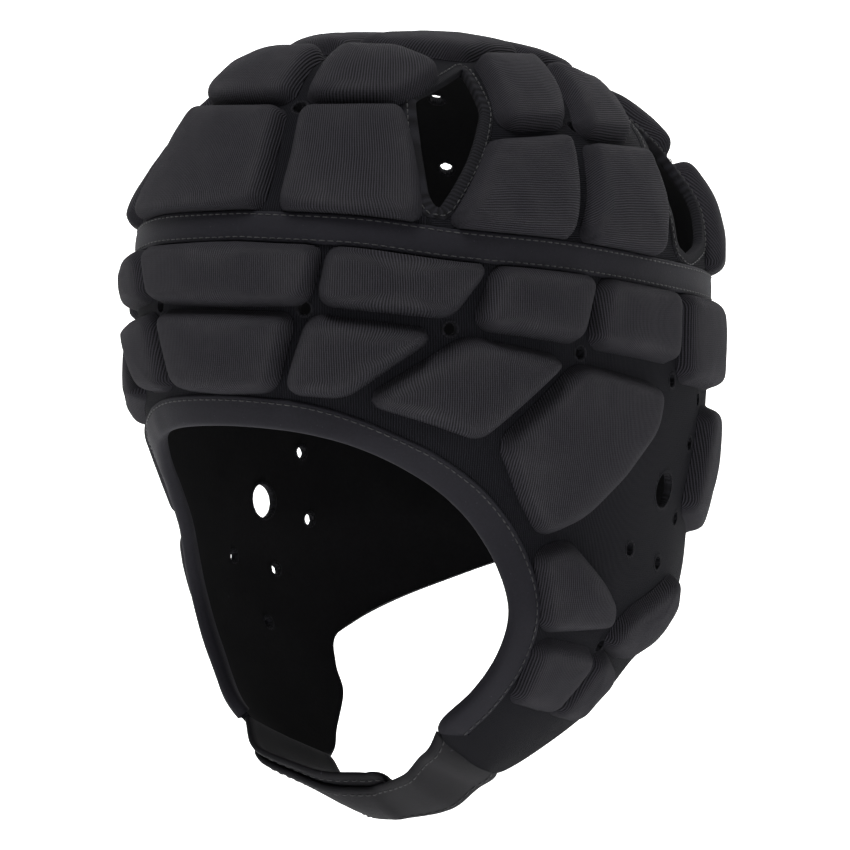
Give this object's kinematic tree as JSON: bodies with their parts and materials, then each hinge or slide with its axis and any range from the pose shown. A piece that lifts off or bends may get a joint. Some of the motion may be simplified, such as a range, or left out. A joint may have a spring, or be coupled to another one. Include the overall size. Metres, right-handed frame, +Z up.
{
  "type": "rugby scrum cap",
  "caption": "Padded scrum cap with foam pads in rib knit on a thin cap, crown vents, open ears, a bound face opening and a lapped chin strap.",
  "frame": {"origin": "middle of the inside of the crown, where the top of the head rests", "axes": "+X to the wearer's left, -Y to the front, +Z up"},
  "size_m": [0.1756, 0.216, 0.2519],
  "materials": {
    "lining": "thin black laminate of rib knit and matt lining",
    "tape": "smooth woven elastic tape, near black",
    "strap": "smooth stretch fabric strap, near black",
    "rib_knit": "foam pad under fine black rib knit"
  },
  "bodies": {
    "root": {"crown_shell": "lining", "ring_shell": "lining", "crown_seam_tape": "tape", "face_binding": "tape", "chin_strap_left": "strap", "chin_strap_right": "strap", "front_petal_low_left": "rib_knit", "front_petal_low_right": "rib_knit", "front_petal_high_left": "rib_knit", "front_petal_high_right": "rib_knit", "side_petal_front_low_left": "rib_knit", "side_petal_front_low_right": "rib_knit", "side_petal_front_high_left": "rib_knit", "side_petal_front_high_right": "rib_knit", "side_petal_rear_low_left": "rib_knit", "side_petal_rear_low_right": "rib_knit", "side_petal_rear_high_left": "rib_knit", "side_petal_rear_high_right": "rib_knit", "back_petal_side_low_left": "rib_knit", "back_petal_side_low_right": "rib_knit", "back_petal_side_high_left": "rib_knit", "back_petal_side_high_right": "rib_knit", "back_petal_rear_low_left": "rib_knit", "back_petal_rear_low_right": "rib_knit", "back_petal_rear_high_left": "rib_knit", "back_petal_rear_high_right": "rib_knit", "crown_wedge_front_left": "rib_knit", "crown_wedge_front_right": "rib_knit", "crown_wedge_side_left": "rib_knit", "crown_wedge_side_right": "rib_knit", "crown_wedge_rear": "rib_knit", "band_pad_1_left": "rib_knit", "band_pad_1_right": "rib_knit", "band_pad_2_left": "rib_knit", "band_pad_2_right": "rib_knit", "band_pad_3_left": "rib_knit", "band_pad_3_right": "rib_knit", "band_pad_4_left": "rib_knit", "band_pad_4_right": "rib_knit", "band_pad_5_left": "rib_knit", "band_pad_5_right": "rib_knit", "temple_pad_1_left": "rib_knit", "temple_pad_1_right": "rib_knit", "temple_pad_2_left": "rib_knit", "temple_pad_2_right": "rib_knit", "temple_pad_3_left": "rib_knit", "temple_pad_3_right": "rib_knit", "nape_pad_left": "rib_knit", "nape_pad_right": "rib_knit", "cheek_pad_upper_left": "rib_knit", "cheek_pad_upper_right": "rib_knit", "cheek_pad_lower_left": "rib_knit", "cheek_pad_lower_right": "rib_knit", "cheek_pad_rear_left": "rib_knit", "cheek_pad_rear_right": "rib_knit", "ear_rim_pad_left": "rib_knit", "ear_rim_pad_right": "rib_knit", "brow_pad_centre": "rib_knit", "forehead_pad_centre": "rib_knit", "nape_pad_centre": "rib_knit"}
  },
  "joints": []
}
